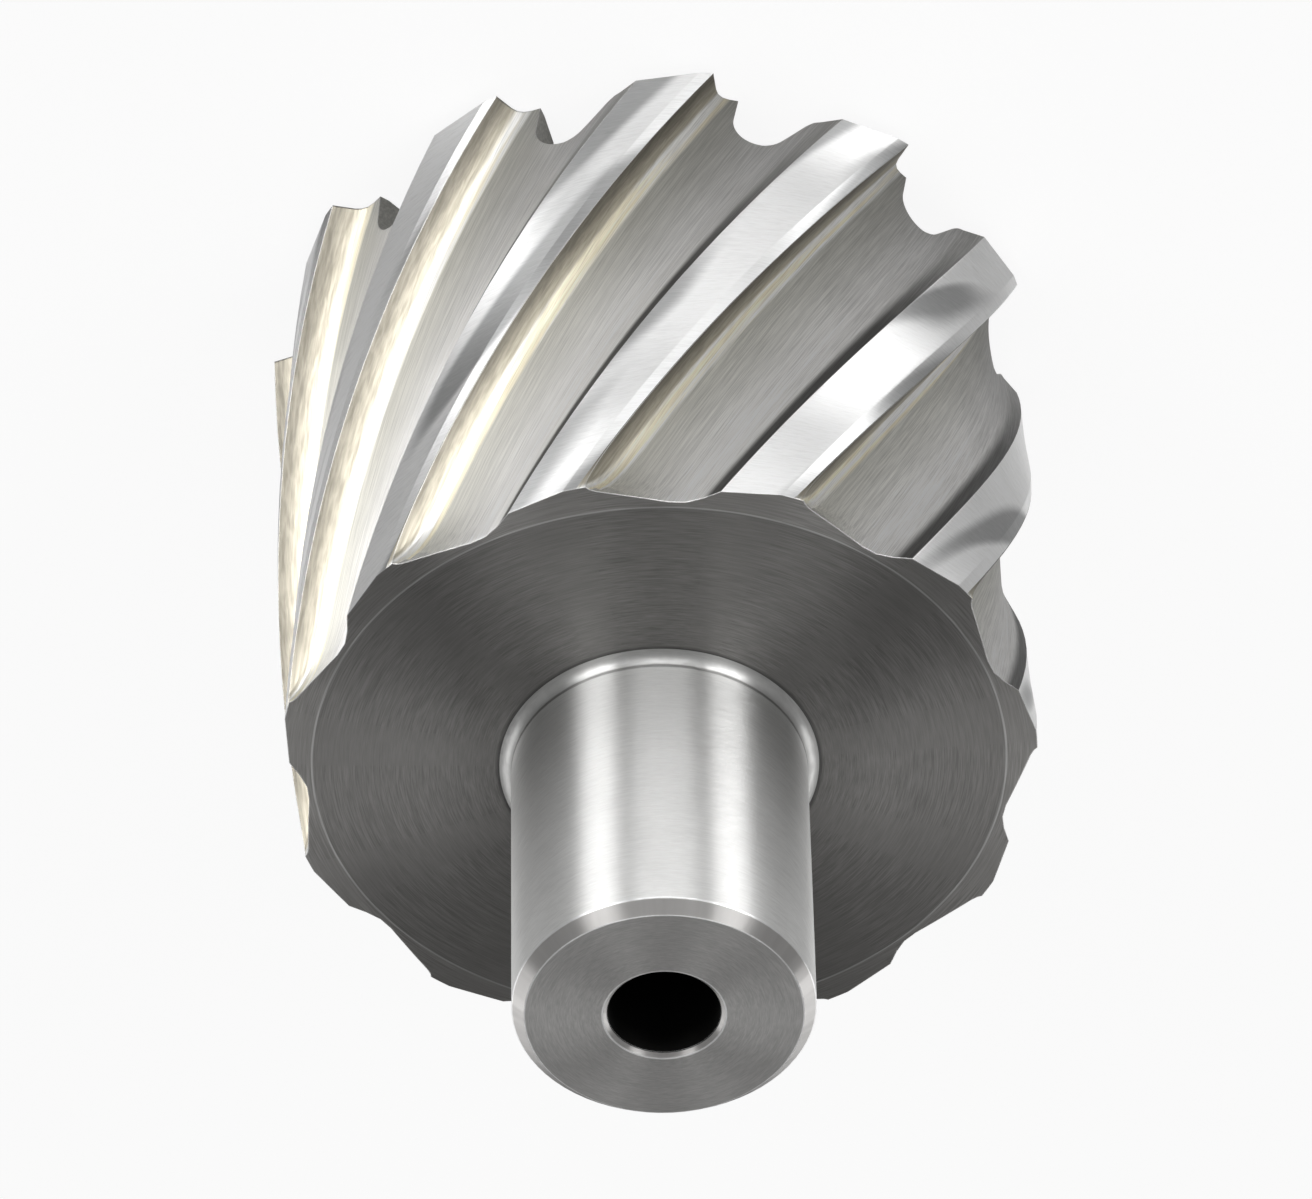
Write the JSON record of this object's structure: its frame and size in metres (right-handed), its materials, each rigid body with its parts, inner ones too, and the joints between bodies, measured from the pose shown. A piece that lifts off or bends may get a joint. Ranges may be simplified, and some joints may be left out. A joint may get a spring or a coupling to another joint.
{
  "type": "annular cutter",
  "caption": "One-piece annular cutter with a hollow fluted body, ground crown teeth, two-flat side-screw shank and a bore for a pilot pin.",
  "frame": {"origin": "on the cutter's axis, in the plane of its cutting edges", "axes": "+Z along the axis from the teeth to the shank; +X through the outer corner of one tooth at the cutting edge"},
  "size_m": [0.0507, 0.0506, 0.0625],
  "materials": {
    "steel": "brushed"
  },
  "bodies": {
    "root": {"annular_cutter": "steel"}
  },
  "joints": []
}
